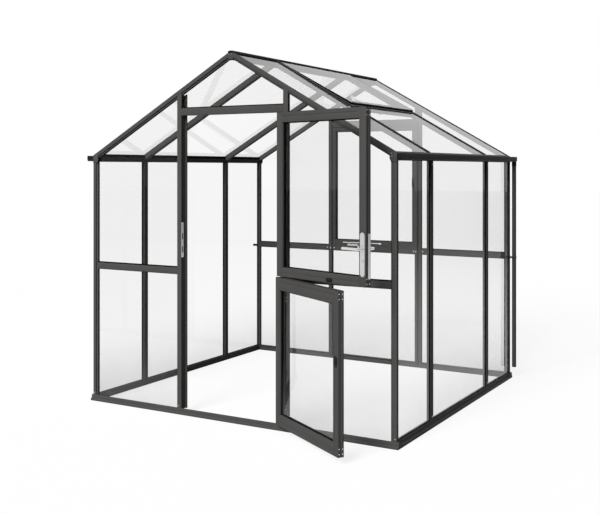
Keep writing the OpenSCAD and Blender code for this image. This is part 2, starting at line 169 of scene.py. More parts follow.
def clear_glass(name, tint, ior, shade_top, shade_most):
    """Thin glass: light goes straight through, it mirrors by its angle, and painted shade darkens
    it towards the ground."""
    s = Shader(name)
    passing = s.add("ShaderNodeBsdfTransparent", Color=tint)
    gloss = s.add("ShaderNodeBsdfGlossy", Color=grey(1.0), Roughness=0.02,
                  Normal=s.bump(s.noise(3.0, 1), 0.0008, 0.5))
    facing = s.add("ShaderNodeFresnel", IOR=ior).outputs[0]
    both = s.maths("DIVIDE", s.maths("MULTIPLY", facing, 2.0), s.maths("ADD", facing, 1.0))
    outer = s.maths("SUBTRACT", 1.0, s.add("ShaderNodeNewGeometry").outputs["Backfacing"])
    pane = s.mix(s.maths("MULTIPLY", both, outer), passing, gloss)
    # painted shade: lower down, the pane is mixed in cloudy patches towards a dark grey diffuse,
    # darker towards the ground
    height = s.add("ShaderNodeSeparateXYZ", Vector=s.coords()).outputs["Z"]
    low = s.spread(height, 1.0, 0.0, 0.0, shade_top)
    cloudy = s.spread(s.noise(5.0, 5, 0.6), 0.85, 1.15)
    shade_gradient = s.maths("MULTIPLY", s.maths("POWER", low, 1.6), cloudy)
    amount = s.maths("MULTIPLY", shade_gradient, shade_most)
    shade_layer = s.add("ShaderNodeBsdfDiffuse", Color=grey(0.3), Roughness=0.5)
    return s.finish(s.mix(amount, pane, shade_layer))


def drawn_metal(name, level, rough, scale=60.0):
    """Stainless steel or zinc plate with a fine drawn grain."""
    s = Shader(name)
    grain = s.noise(scale, 3, vector=s.stretched(30, 30, 1.5))
    base = s.blend(s.spread(grain, 0, 1), grey(level * 0.9, 0.01), grey(level * 1.08))
    return s.finish(s.add("ShaderNodeBsdfPrincipled", Base_Color=base, Metallic=1.0,
                          Roughness=s.spread(grain, rough - 0.05, rough + 0.07),
                          Normal=s.bump(grain, 0.0001, 0.3)))


def moulded(name, level, roughness, gloss):
    """Moulded plastic or rubber with a fine matt skin."""
    s = Shader(name)
    skin = s.noise(1400, 2)
    base = s.blend(s.spread(s.noise(30, 3), 0, 1), grey(level * 0.8), grey(level * 1.3))
    return s.finish(s.add("ShaderNodeBsdfPrincipled", Base_Color=base,
                          Roughness=s.spread(skin, roughness - 0.06, roughness + 0.08),
                          Normal=s.bump(skin, 0.00008, 0.4), Specular_IOR_Level=gloss))


COAT = powder_coat("anthracite_powder_coat", level=0.072)
# the float glass carries painted shade that darkens it towards the ground
PANE = clear_glass("float_glass", tint=grey(0.971), ior=1.16, shade_top=0.5, shade_most=0.12)
STEEL = drawn_metal("brushed_stainless_steel", level=0.88, rough=0.36)
ZINC = drawn_metal("bright_zinc_plate", level=0.85, rough=0.3, scale=200.0)
DULL_ZINC = drawn_metal("dulled_zinc_plate", level=0.3, rough=0.5, scale=200.0)
PLASTIC = moulded("black_moulded_plastic", level=0.012, roughness=0.5, gloss=0.12)
RUBBER = moulded("black_glazing_rubber", level=0.004, roughness=0.75, gloss=0.03)
LOOKS = {"frame": COAT, "glass": PANE, "steel": STEEL, "black": PLASTIC}

NODE_SLOT = {part["node"]: part["material_slot"] for part in frame["record"]["subparts"]}
for node, slot_name in NODE_SLOT.items():
    slots = NODES[node].data.materials
    slots.clear()
    slots.append(LOOKS[slot_name])


# ---------------------------------------------------------------- building helpers
def piece(name, bm, material, body, place=None):
    """Turns a bmesh into a piece of the object that rides on a body."""
    if place is not None:
        bmesh.ops.transform(bm, matrix=place, verts=bm.verts)
    bmesh.ops.recalc_face_normals(bm, faces=bm.faces)
    mesh = bpy.data.meshes.new(name)
    bm.to_mesh(mesh)
    bm.free()
    mesh.materials.append(material)
    mesh.shade_smooth()
    mesh.set_sharp_from_angle(angle=math.radians(32))
    made = bpy.data.objects.new(name, mesh)
    scene.collection.objects.link(made)
    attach(made, body)
    return made


def rounded(node, radius):
    """Stands a copy of a CAD node with softened edges in for it."""
    bm = bmesh.new()
    bm.from_mesh(NODES[node].data)
    bmesh.ops.remove_doubles(bm, verts=bm.verts, dist=2e-5)
    bmesh.ops.dissolve_limit(bm, angle_limit=math.radians(1.5), verts=bm.verts, edges=bm.edges)
    sharp = [e for e in bm.edges
             if len(e.link_faces) == 2 and e.calc_face_angle(0) > math.radians(24)]
    bmesh.ops.bevel(bm, geom=sharp, offset=radius, offset_type="OFFSET", segments=2, profile=0.6,
                    affect="EDGES", clamp_overlap=True)
    made = piece(node + "_finished", bm, LOOKS[NODE_SLOT[node]], NODES[node]["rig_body"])
    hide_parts(node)


def inset(outline, distance):
    """A convex outline, anticlockwise, moved inwards."""
    lines = []
    for a, b in zip(outline, outline[1:] + outline[:1]):
        along = Vector((b[0] - a[0], b[1] - a[1])).normalized()
        inward = Vector((-along.y, along.x))
        lines.append((Vector(a) + inward * distance, along))
    moved = []
    for (p, d), (q, e) in zip(lines[-1:] + lines[:-1], lines):
        cross = d.x * e.y - d.y * e.x
        t = ((q.x - p.x) * e.y - (q.y - p.y) * e.x) / cross
        moved.append(p + d * t)
    return moved


def moulding(bm, outline, section, lift):
    """A closed frame along an outline. section gives (distance in, height) points, and lift
    turns a point of the outline's plane and a height into a place in space."""
    rings = [[bm.verts.new(lift(p, height)) for p in inset(outline, d)] for d, height in section]
    for first, second in zip(rings, rings[1:] + rings[:1]):
        for i in range(len(outline)):
            j = (i + 1) % len(outline)
            bm.faces.new((first[i], first[j], second[j], second[i]))


def on_wall(y, out):
    """Lift for an outline in x and z on a wall that faces along out * Y."""
    return lambda p, h: Vector((p[0], y + out * h, p[1]))


def on_side(x, out):
    """Lift for an outline in y and z on a wall that faces along out * X."""
    return lambda p, h: Vector((x + out * h, p[0], p[1]))


def frame_of(normal):
    """Two directions square to a normal."""
    normal = Vector(normal).normalized()
    side = normal.orthogonal().normalized()
    return normal, side, normal.cross(side)


def lathe(bm, centre, normal, profile, segments):
    """A turned shape: profile gives (radius, height) points along the normal."""
    n, u, v = frame_of(normal)
    rings = []
    for radius, height in profile:
        base = Vector(centre) + n * height
        if radius < 1e-6:
            rings.append([bm.verts.new(base)])
            continue
        rings.append([bm.verts.new(base + (u * math.cos(a) + v * math.sin(a)) * radius)
                      for a in (2 * math.pi * k / segments for k in range(segments))])
    for low, high in zip(rings, rings[1:]):
        for k in range(segments):
            j = (k + 1) % segments
            corners = [low[k % len(low)], low[j % len(low)], high[j % len(high)],
                       high[k % len(high)]]
            bm.faces.new(list(dict.fromkeys(corners)))


def prism(bm, points, top_points):
    """A solid between two outlines with the same number of points."""
    low = [bm.verts.new(p) for p in points]
    high = [bm.verts.new(p) for p in top_points]
    count = len(low)
    for k in range(count):
        j = (k + 1) % count
        bm.faces.new((low[k], low[j], high[j], high[k]))
    bm.faces.new(low[::-1])
    bm.faces.new(high)


def slab(bm, low, high, chamfer=0.0006):
    """A block between two corners, with its edges taken off."""
    part = bmesh.new()
    bmesh.ops.create_cube(part, size=1.0)
    low, high = Vector(low), Vector(high)
    size = high - low
    bmesh.ops.transform(part, verts=part.verts, matrix=Matrix.Translation((low + high) / 2)
                        @ Matrix.Diagonal(size).to_4x4())
    edge = min(chamfer, min(size) * 0.3)
    bmesh.ops.bevel(part, geom=part.edges[:], offset=edge, segments=2, affect="EDGES")
    join(bm, part)


def join(bm, part):
    """Adds one bmesh to another and frees it."""
    mesh = bpy.data.meshes.new("part")
    part.to_mesh(mesh)
    part.free()
    bm.from_mesh(mesh)
    bpy.data.meshes.remove(mesh)


def bolt(bm, centre, normal, radius, height):
    """A hexagon head on a washer."""
    n = Vector(normal).normalized()
    lathe(bm, centre, n, [(0, 0), (radius * 1.35, 0), (radius * 1.35, height * 0.22),
                          (0, height * 0.22)], 20)
    top = Vector(centre) + n * height * 0.2
    lathe(bm, top, n, [(0, 0), (radius, 0), (radius, height * 0.75), (radius * 0.86, height),
                       (0, height)], 6)


def screw(bm, centre, normal, radius, height=0.0016):
    """A low round head with a hexagon socket."""
    lathe(bm, centre, normal, [(radius, 0), (radius, height * 0.35), (radius * 0.72, height),
                               (radius * 0.4, height)], 16)
    lathe(bm, centre, normal, [(radius * 0.4, height), (radius * 0.38, height * 0.15),
                               (0, height * 0.1)], 16)


def stadium(bm, centre, normal, half_w, half_h, heights):
    """A plate or knob with round ends, drawn upright: heights gives (scale, height) pairs, and
    half_w and half_h are half its width and half its height."""
    count = 32
    n = Vector(normal)
    side = Vector((n.y, -n.x, 0))
    flat = max(half_h - half_w, 0)
    outline = []
    for k in range(count):
        a = 2 * math.pi * k / count
        lift = flat if math.sin(a) >= 0 else -flat
        outline.append((half_w * math.cos(a), half_w * math.sin(a) + lift))
    rings = [[bm.verts.new(Vector(centre) + side * x * f + Vector((0, 0, z * f)) + n * h)
              for x, z in outline] for f, h in heights]
    for low, high in zip(rings, rings[1:]):
        for k in range(count):
            j = (k + 1) % count
            bm.faces.new((low[k], low[j], high[j], high[k]))
    bm.faces.new(rings[0][::-1])
    bm.faces.new(rings[-1])


def tube(bm, path, radius, segments, flatten, up):
    """A round or flattened bar swept along a path, closed at both ends."""
    path = [Vector(p) for p in path]
    rings = []
    for k, point in enumerate(path):
        along = (path[min(k + 1, len(path) - 1)] - path[max(k - 1, 0)]).normalized()
        side = along.cross(Vector(up)).normalized()
        high = side.cross(along)
        rings.append([bm.verts.new(point + side * math.cos(a) * radius
                                   + high * math.sin(a) * radius * flatten)
                      for a in (2 * math.pi * j / segments for j in range(segments))])
    for low, high in zip(rings, rings[1:]):
        for j in range(segments):
            i = (j + 1) % segments
            bm.faces.new((low[j], low[i], high[i], high[j]))
    bm.faces.new(rings[0][::-1])
    bm.faces.new(rings[-1])


def smooth_path(points, steps=6):
    """A Catmull-Rom curve through points."""
    points = [Vector(p) for p in points]
    ends = [points[0] * 2 - points[1]] + points + [points[-1] * 2 - points[-2]]
    made = []
    for p0, p1, p2, p3 in zip(ends, ends[1:], ends[2:], ends[3:]):
        for k in range(steps):
            t = k / steps
            made.append(0.5 * (2 * p1 + (p2 - p0) * t + (2 * p0 - 5 * p1 + 4 * p2 - p3) * t * t
                               + (3 * p1 - p0 - 3 * p2 + p3) * t ** 3))
    return made + [points[-1]]


# ---------------------------------------------------------------- sizes read from the frame
posts_low, posts_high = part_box("corner_posts")
HALF_W, DEPTH, EAVE_Z = posts_high
SEAT_Z = posts_low.z
BASE_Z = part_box("base_end_rails")[1].z
CORNER_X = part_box("front_mid_rails")[1].x
POST_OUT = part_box("door_posts")[1].x
POST_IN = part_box("headers")[1].x
MID_LOW, MID_TOP = (corner.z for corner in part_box("front_mid_rails"))
HEAD_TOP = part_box("headers")[1].z
glass_low, glass_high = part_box("front_glass")
GLASS_Y, GLASS_IN = glass_low.y, glass_high.y
roof_low, roof_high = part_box("roof_glass")
RIDGE_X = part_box("ridge_beam")[1].x
RIDGE_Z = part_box("ridge_beam")[1].z
SLOPE = (roof_high.z - roof_low.z - 4 * MM) / (roof_high.x - RIDGE_X)
side_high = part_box("side_glass")[1]
BARS_Y = (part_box("roof_bars")[0].y + 20 * MM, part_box("roof_bars")[1].y - 20 * MM)


def pane_z(x):
    """Height of the roof glass's upper surface."""
    return roof_high.z - (abs(x) - RIDGE_X) * SLOPE


def soffit_z(x):
    """Underside of the rafters."""
    return glass_high.z - (abs(x) - RIDGE_X) * SLOPE


def swing_of(joint):
    """The turn from the closed door to where the leaf stands at rest."""
    hinge = Vector(JOINTS[joint]["pos_m"])
    angle = -math.radians(JOINTS[joint]["range_deg"][0])
    turn = Matrix.Rotation(angle, 4, "Z")
    return Matrix.Translation(hinge) @ turn @ Matrix.Translation(-hinge)


def closed_box(node, swing):
    """A leaf node's box with the door closed."""
    back = swing.inverted()
    places = [back @ v.co for v in NODES[node].data.vertices]
    return [Vector(pick(p[k] for p in places) for k in range(3)) for pick in (min, max)]


# ---------------------------------------------------------------- camera, light and stage
cam_data = bpy.data.cameras.new("camera")
cam = bpy.data.objects.new("camera", cam_data)
scene.collection.objects.link(cam)
scene.camera = cam
EYE = (3.3452, -5.0969, 1.6266)
TURN_LEFT = math.radians(30.762)
LENS = 57.09                # mm, for a sensor 36 mm wide
SHIFT = (0.04615, -0.14793)
cam.location = EYE
cam.rotation_euler = (math.radians(90), 0, TURN_LEFT)
cam_data.sensor_width = 36.0
cam_data.lens = LENS
cam_data.shift_x, cam_data.shift_y = SHIFT
cam_data.clip_end = 200

scene.view_settings.view_transform = "Standard"
scene.cycles.transparent_max_bounces = 48

SKY_LEVEL = 0.24            # the sky's light on the object
SHADED_LEVEL = 0.1          # the part of it that is left on the right
MIRROR_LEVEL = 0.84         # the sky as metal and glass mirror it


def studio_world():
    """White to the eye; as a light it is dimmer on the right, where mirrored rays find it bright
    overhead only."""
    world = bpy.data.worlds.new("studio")
    scene.world = world
    s = Shader("studio", world, "ShaderNodeOutputWorld")
    direction = s.add("ShaderNodeSeparateXYZ", Vector=s.coords("Generated"))
    right = s.spread(direction.outputs["X"], 1.0, SHADED_LEVEL, 0.15, 0.6)
    path = s.tree.nodes.new("ShaderNodeLightPath")
    soft = s.add("ShaderNodeBackground", Color=grey(1.0),
                 Strength=s.maths("MULTIPLY", right, SKY_LEVEL))
    overhead = s.spread(direction.outputs["Z"], 0.0, 1.0, 0.1, 0.6)
    in_mirror = s.maths("MAXIMUM", s.maths("MULTIPLY", right, MIRROR_LEVEL), overhead)
    mirrored = s.add("ShaderNodeBackground", Color=grey(1.0), Strength=in_mirror)
    plain = s.add("ShaderNodeBackground", Color=grey(1.0), Strength=1.0)
    straight = s.maths("MAXIMUM", path.outputs["Is Camera Ray"],
                       path.outputs["Is Transmission Ray"])
    lit = s.mix(path.outputs["Is Glossy Ray"], soft, mirrored)
    s.finish(s.mix(straight, lit, plain))


def soft_sun(name, toward, strength, angle):
    """A wide soft lamp that shines in one direction, kept out of mirrored rays so that it leaves
    no white disc in the glass."""
    data = bpy.data.lights.new(name, "SUN")
    data.energy = strength
    data.angle = math.radians(angle)
    lamp = bpy.data.objects.new(name, data)
    lamp.visible_glossy = False
    lamp.rotation_mode = "QUATERNION"
    lamp.rotation_quaternion = Vector(toward).to_track_quat("-Z", "Y")
    scene.collection.objects.link(lamp)


def white_floor():
    """A pale floor that keeps a soft shadow and meets the white background."""
    reach = 60.0
    drop = -0.5 * MM
    shade = grey(0.22)          # how much of the shadow shows
    mesh = bpy.data.meshes.new("floor")
    corners = ((-1, -1), (1, -1), (1, 1), (-1, 1))
    mesh.from_pydata([(x * reach, y * reach, drop) for x, y in corners], [], [(0, 1, 2, 3)])
    made = bpy.data.objects.new("floor", mesh)
    scene.collection.objects.link(made)
    s = Shader("white_floor")
    lighting = s.add("ShaderNodeBsdfDiffuse", Color=shade)
    thin = s.add("ShaderNodeBsdfDiffuse", Color=shade)
    away = s.add("ShaderNodeVectorMath", Vector=s.coords())
    away.operation = "LENGTH"
    near = s.spread(away.outputs["Value"], 0.85, 0.05, 3.0, 16.0)
    path = s.tree.nodes.new("ShaderNodeLightPath")
    level = s.blend(path.outputs["Is Glossy Ray"], grey(0.82), near)
    glow = s.add("ShaderNodeEmission", Color=level, Strength=1.0)
    seen = s.tree.nodes.new("ShaderNodeAddShader")
    s.tree.links.new(thin.outputs[0], seen.inputs[0])
    s.tree.links.new(glow.outputs[0], seen.inputs[1])
    mesh.materials.append(s.finish(s.mix(s.seen(), lighting, seen)))


studio_world()
soft_sun("key", toward=(0.0, 1.0, -0.62), strength=3.7, angle=26)
white_floor()

# ---------------------------------------------------------------- frame with softened edges
for node, slot_name in NODE_SLOT.items():
    if slot_name == "frame" and node != "door_hinge_pins":
        rounded(node, 1.2 * MM if "leaf" in node or "window" in node else 1.6 * MM)


# ---------------------------------------------------------------- glazing rubber
BEAD = [(0, 0), (0, 3 * MM), (2 * MM, 3 * MM), (4 * MM, 1.2 * MM), (4 * MM, 0)]


def rectangle(a0, b0, a1, b1):
    return [(a0, b0), (a1, b0), (a1, b1), (a0, b1)]


def mirrored_outline(outline):
    return [(-x, z) for x, z in reversed(outline)]


def end_outlines():
    """Outlines of the panes of an end wall, seen from outside."""
    low = rectangle(POST_OUT, SEAT_Z, CORNER_X, MID_LOW)
    high = [(POST_OUT, MID_TOP), (CORNER_X, MID_TOP), (CORNER_X, soffit_z(CORNER_X)),
            (POST_OUT, soffit_z(POST_OUT))]
    gable = [(-POST_IN, HEAD_TOP), (POST_IN, HEAD_TOP), (POST_IN, soffit_z(POST_IN)),
             (RIDGE_X, soffit_z(RIDGE_X)), (-RIDGE_X, soffit_z(RIDGE_X)),
             (-POST_IN, soffit_z(POST_IN))]
    return [low, high, gable, mirrored_outline(low), mirrored_outline(high)]


bm = bmesh.new()
for outline in end_outlines():
    for y, out in ((GLASS_Y, -1), (GLASS_IN, 1), (DEPTH - GLASS_Y, 1), (DEPTH - GLASS_IN, -1)):
        moulding(bm, outline, BEAD, on_wall(y, out))
for y, out in ((DEPTH - GLASS_Y, 1), (DEPTH - GLASS_IN, -1)):
    moulding(bm, rectangle(-POST_IN, SEAT_Z, POST_IN, MID_LOW), BEAD, on_wall(y, out))
# wedges along the sills, flush with the rails' faces
for x0, x1, z in ((POST_OUT, CORNER_X, MID_TOP), (-CORNER_X, -POST_OUT, MID_TOP),
                  (-POST_IN, POST_IN, HEAD_TOP)):
    for y0, y1, y2 in ((0.8 * MM, 3 * MM, GLASS_Y),
                       (DEPTH - 0.8 * MM, DEPTH - 3 * MM, DEPTH - GLASS_Y),
                       (24 * MM, 22 * MM, GLASS_IN),
                       (DEPTH - 24 * MM, DEPTH - 22 * MM, DEPTH - GLASS_IN)):
        lines = [[(x, y0, z), (x, y0, z + 3.5 * MM), (x, y1, z + 5 * MM), (x, y2, z + 7 * MM),
                  (x, y2, z)] for x in (x0, x1)]
        prism(bm, *lines)
piece("end_wall_gaskets", bm, RUBBER, "greenhouse")

bm = bmesh.new()
BAR_HALF = 20 * MM
BAYS = [(24 * MM, BARS_Y[0] - BAR_HALF), (BARS_Y[0] + BAR_HALF, BARS_Y[1] - BAR_HALF),
        (BARS_Y[1] + BAR_HALF, DEPTH - 24 * MM)]
for y0, y1 in BAYS:
    for side in (1, -1):
        for x, out in ((side_high.x * side, side), ((side_high.x - 4 * MM) * side, -side)):
            moulding(bm, rectangle(y0, BASE_Z, y1, EAVE_Z), BEAD, on_side(x, out))
piece("side_wall_gaskets", bm, RUBBER, "greenhouse")

window_low, window_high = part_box("window_glass")
bm = bmesh.new()
outline = rectangle(window_low.x, window_low.z, window_high.x, window_high.z)
moulding(bm, outline, BEAD, on_wall(window_high.y, 1))
moulding(bm, outline, [(0, 0), (0, 9 * MM), (3 * MM, 9 * MM), (6 * MM, 2 * MM), (6 * MM, 0)],
         on_wall(window_low.y, -1))
piece("window_gasket", bm, RUBBER, "greenhouse")


# ---------------------------------------------------------------- roof seals
def on_slope(side):
    """Lift for an outline in x and y on the upper face of a roof slope's glass."""
    return lambda p, h: Vector((side * p[0], p[1], pane_z(p[0]) + h))


STRIP_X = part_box("roof_caps")[1].x
ROOF_BAYS = [(20 * MM, BARS_Y[0] - 5 * MM), (BARS_Y[0] + 5 * MM, BARS_Y[1] - 5 * MM),
             (BARS_Y[1] + 5 * MM, DEPTH - 20 * MM)]
TOP_BEAD = [(0, 0), (0, 3.2 * MM), (1.5 * MM, 3.2 * MM), (3.5 * MM, 0.8 * MM), (3.5 * MM, 0)]
vent_low, vent_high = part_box("vent_glass")
bm = bmesh.new()
for index, (y0, y1) in enumerate(ROOF_BAYS):
    for side in (1, -1):
        top = vent_high.x + 12 * MM if (index, side) == (1, 1) else RIDGE_X
        moulding(bm, rectangle(top, y0, STRIP_X, y1), TOP_BEAD, on_slope(side))
piece("roof_gaskets", bm, RUBBER, "greenhouse")

EAVE_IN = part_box("gable_rafters")[1].x - 30 * MM
# black glazing rubber along the top of the eaves' inner face: partly a real seal, partly painted
# shade under the roof glass's edge
bm = bmesh.new()
for side in (1, -1):
    top = pane_z(EAVE_IN) - 5 * MM
    edge = [(0.2 * MM, top - 20 * MM), (-3 * MM, top - 18 * MM), (-3 * MM, top - 1 * MM),
            (2 * MM, top)]
    ends = [[(side * (EAVE_IN + x), y, z) for x, z in edge] for y in (31 * MM, DEPTH - 31 * MM)]
    prism(bm, *ends)
piece("eaves_seals_and_shade", bm, RUBBER, "greenhouse")


def vent_z(x):
    """Height of the vent's upper surface."""
    t = (x - vent_low.x) / (vent_high.x - vent_low.x)
    return vent_high.z + (vent_low.z + 4 * MM - vent_high.z) * t


bm = bmesh.new()
# the cheeks between the vent and the roof's glass
for y0, y1 in ((vent_low.y - 1.6 * MM, vent_low.y - 0.1 * MM),
               (vent_high.y + 0.1 * MM, vent_high.y + 1.6 * MM)):
    ends = [[(x, y, z) for x, z in ((vent_low.x, pane_z(vent_low.x) + 0.5 * MM),
                                    (vent_high.x - 4 * MM, pane_z(vent_high.x) + 1 * MM),
                                    (vent_high.x, vent_z(vent_high.x) + 0.6 * MM),
                                    (vent_low.x, vent_z(vent_low.x) + 0.6 * MM))]
            for y in (y0, y1)]
    prism(bm, *ends)
# the strip over the vent's upper edge
ends = [[(x, y, z) for x, z in ((vent_low.x - 1 * MM, vent_z(vent_low.x)),
                                (vent_low.x + 22 * MM, vent_z(vent_low.x + 22 * MM)),
                                (vent_low.x + 20 * MM, vent_z(vent_low.x + 22 * MM) + 2 * MM),
                                (vent_low.x - 1 * MM, vent_z(vent_low.x) + 5 * MM))]
        for y in (vent_low.y, vent_high.y)]
prism(bm, *ends)
# the seal inside its lower edge
ends = [[(x, y, z) for x, z in ((vent_high.x - 5 * MM, pane_z(vent_high.x) + 2 * MM),
                                (vent_high.x - 3 * MM, pane_z(vent_high.x) + 1.5 * MM),
                                (vent_high.x - 3 * MM, vent_z(vent_high.x) - 5 * MM),
                                (vent_high.x - 5 * MM, vent_z(vent_high.x) - 5 * MM))]
        for y in (vent_low.y, vent_high.y)]
prism(bm, *ends)
piece("vent_seals", bm, RUBBER, "greenhouse")


# ---------------------------------------------------------------- bolts and screws of the frame
bm = bmesh.new()
plate_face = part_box("eave_plates")[0].y
for side in (1, -1):
    for x, z in ((HALF_W - 31 * MM, EAVE_Z + 38 * MM), (HALF_W - 29 * MM, EAVE_Z + 21 * MM)):
        bolt(bm, (side * x, plate_face, z), (0, -1, 0), 4.4 * MM, 3.4 * MM)
        bolt(bm, (side * x, DEPTH - plate_face, z), (0, 1, 0), 4.4 * MM, 3.4 * MM)
for y, out in ((0, -1), (DEPTH, 1)):
    for x, z in ((-10 * MM, RIDGE_Z - 24 * MM), (10 * MM, RIDGE_Z - 24 * MM)):
        bolt(bm, (x, y, z), (0, out, 0), 4.4 * MM, 3.4 * MM)
piece("gable_bolts", bm, DULL_ZINC, "greenhouse")

bm = bmesh.new()
rail_z = (MID_LOW + MID_TOP) / 2
lip_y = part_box("back_posts")[0].y
rail_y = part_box("window_rails")[0].y
for side in (1, -1):
    for x, y in ((POST_IN - 24 * MM, rail_y), (POST_IN + 1 * MM, lip_y),
                 (POST_OUT + 14 * MM, DEPTH - 24 * MM)):
        bolt(bm, (side * x, y, rail_z), (0, -1, 0), 4.2 * MM, 3 * MM)
for side in (1, -1):
    for y in (BARS_Y[0], BARS_Y[1]):
        for z in (BASE_Z + 25 * MM, EAVE_Z - 25 * MM):
            screw(bm, (side * HALF_W, y, z), (side, 0, 0), 4 * MM)
for side in (1, -1):
    for x in (POST_OUT - 12 * MM, HALF_W - 12 * MM):
        for y, out in ((0, -1), (DEPTH, 1)):
            screw(bm, (side * x, y, SEAT_Z + 24 * MM), (0, out, 0), 3.4 * MM)
piece("frame_bolts", bm, ZINC, "greenhouse")

bm = bmesh.new()
for y0, y1 in ((-3 * MM, 9 * MM), (DEPTH - 9 * MM, DEPTH + 3 * MM)):
    outline = [(-19, -13), (19, -13), (19, -6), (9, -1), (5, 0), (-5, 0), (-9, -1), (-19, -6)]
    ends = [[(x * MM, y, RIDGE_Z + z * MM) for x, z in outline] for y in (y0, y1)]
    prism(bm, *ends)
piece("ridge_end_caps", bm, PLASTIC, "greenhouse")

bm = bmesh.new()
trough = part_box("gutters")[1].x - HALF_W
for side in (1, -1):
    for y, out in ((0, -1), (DEPTH, 1)):
        outline = [(0, 0), (trough - 8 * MM, 0), (trough, 8 * MM), (trough, 38 * MM), (0, 38 * MM)]
        ends = [[(side * (HALF_W + x), y + out * d, z + EAVE_Z) for x, z in outline]
                for d in (0.1 * MM, 2 * MM)]
        prism(bm, *ends)
piece("gutter_end_caps", bm, PLASTIC, "greenhouse")

bm = bmesh.new()
pipe_low, pipe_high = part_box("downpipe")
clip_low, clip_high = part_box("downpipe_clip")
pipe = Vector(((pipe_low.x + pipe_high.x) / 2, (pipe_low.y + pipe_high.y) / 2, 0))
radius = (pipe_high.x - pipe_low.x) / 2
clip_z = (clip_low.z + clip_high.z) / 2
lathe(bm, pipe + Vector((0, 0, pipe_high.z - 34 * MM)), (0, 0, 1),
      [(radius, 0), (radius + 1.6 * MM, 1 * MM), (radius + 1.6 * MM, 30 * MM),
       (radius, 33 * MM)], 40)
slab(bm, (HALF_W + 0.2 * MM, pipe.y - 17 * MM, clip_z - 12 * MM),
     (HALF_W + 2.4 * MM, pipe.y + 15 * MM, clip_z + 12 * MM))
screw(bm, (HALF_W + 2.4 * MM, pipe.y - 12 * MM, clip_z), (1, 0, 0), 3.2 * MM)
slab(bm, (pipe.x - 4 * MM, clip_low.y - 6 * MM, clip_low.z + 1 * MM),
     (pipe.x + 4 * MM, clip_low.y - 0.2 * MM, clip_high.z - 1 * MM))
slab(bm, (-HALF_W - 40 * MM, DEPTH - 26 * MM, clip_z - 9 * MM),
     (-HALF_W - 0.2 * MM, DEPTH - 8 * MM, clip_z + 9 * MM), 2 * MM)
piece("pipe_fittings", bm, PLASTIC, "greenhouse")


# ---------------------------------------------------------------- vent opener
bm = bmesh.new()
opener_low, opener_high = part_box("vent_opener")
mid_y = (opener_low.y + opener_high.y) / 2
heel, toe = [Vector((x, mid_y, pane_z(x) - 48 * MM))
             for x in (opener_low.x + 6 * MM, opener_high.x - 1.5 * MM)]
along = (toe - heel).normalized()
reach = (toe - heel).length
lathe(bm, heel, along, [(0, 0), (9 * MM, 0), (11 * MM, 2 * MM), (11 * MM, reach * 0.72),
                        (8 * MM, reach * 0.74), (4 * MM, reach * 0.745), (4 * MM, reach),
                        (0, reach)], 28)
for place in (heel + along * 12 * MM, toe - along * 7 * MM):
    slab(bm, place - Vector((7 * MM, 13 * MM, 5 * MM)), place + Vector((7 * MM, 13 * MM, 9 * MM)))
# the arm up to the vent's lower rail
arm = [(opener_high.x + x * MM, z * MM)
       for x, z in ((-17.5, -46), (-5.5, -46), (-5.5, 0.4), (-17.5, 0.4))]
prism(bm, *[[(x, mid_y + y * MM, pane_z(x) + z) for x, z in arm] for y in (-5, 5)])
made = piece("vent_opener_cylinder", bm, STEEL, "greenhouse")
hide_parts("vent_opener")


# ---------------------------------------------------------------- back window's fittings
bm = bmesh.new()
face = rail_y - 0.1 * MM
stay_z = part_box("window_rails")[0].z + 29 * MM
PLATE_X = (-0.235, -0.14)               # ends of the plate that the stay's pegs stand on
PEGS_X = (-0.205, -0.17)
BLOCK_X = (0.056, 0.078)                # sides of the block that the bar turns in
BAR = ((-0.272, -15, 1), (-0.24, -13, 0), (-0.16, -12, 2), (-0.05, -12, 0), (0.03, -12, 1),
       (0.066, -9, 0))                  # x in metres, then y and z from the rail in millimetres
slab(bm, (PLATE_X[0], face - 2.4 * MM, stay_z - 28 * MM), (PLATE_X[1], face, stay_z - 10 * MM))
for x in (PLATE_X[0] + 7 * MM, PLATE_X[1] - 7 * MM):
    screw(bm, (x, face - 2.4 * MM, stay_z - 19 * MM), (0, -1, 0), 3 * MM)
for x in PEGS_X:
    lathe(bm, (x, face - 2.4 * MM, stay_z - 17 * MM), (0, -1, 0),
          [(0, 0), (4 * MM, 0), (4 * MM, 6 * MM), (2.6 * MM, 7 * MM), (2.6 * MM, 14 * MM),
           (0, 14.6 * MM)], 16)
bar = smooth_path([(x, face + y * MM, stay_z + z * MM) for x, y, z in BAR])
tube(bm, bar, 4 * MM, 14, 0.6, (0, 1, 0))
slab(bm, (BLOCK_X[0], face - 8 * MM, stay_z - 8 * MM), (BLOCK_X[1], face, stay_z + 8 * MM))
screw(bm, (sum(BLOCK_X) / 2, face - 8 * MM, stay_z), (0, -1, 0), 3 * MM)
piece("window_stay", bm, STEEL, "greenhouse")

handle_low, handle_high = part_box("window_handle")
bm = bmesh.new()
handle_x = (handle_low.x + handle_high.x) / 2 - 6 * MM
centre = Vector((handle_x, handle_high.y, handle_low.z + 33 * MM))
oval = [(centre.x + 9 * MM * math.cos(a), centre.z + 32 * MM * math.sin(a))
        for a in (2 * math.pi * k / 40 for k in range(40))]
layers = [[Vector((centre.x + (x - centre.x) * f, centre.y - d, centre.z + (z - centre.z) * f))
           for x, z in oval] for f, d in ((1, 0), (1, 2.6 * MM), (0.9, 4 * MM))]
prism(bm, layers[0], layers[1])
prism(bm, layers[1], layers[2])
lathe(bm, centre - Vector((0, 4 * MM, 0)), (0, -1, 0),
      [(0, 0), (7 * MM, 0), (6.4 * MM, 10 * MM), (6.4 * MM, 15 * MM), (0, 16 * MM)], 24)
grip = smooth_path([centre + Vector((0, y * MM, z * MM))
                    for y, z in ((-17, -7), (-17.5, 12), (-17, 45), (-15.5, 69))])
tube(bm, grip, 6 * MM, 16, 0.75, (0, 1, 0))
made = piece("window_lever", bm, PLASTIC, "greenhouse")
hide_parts("window_handle")


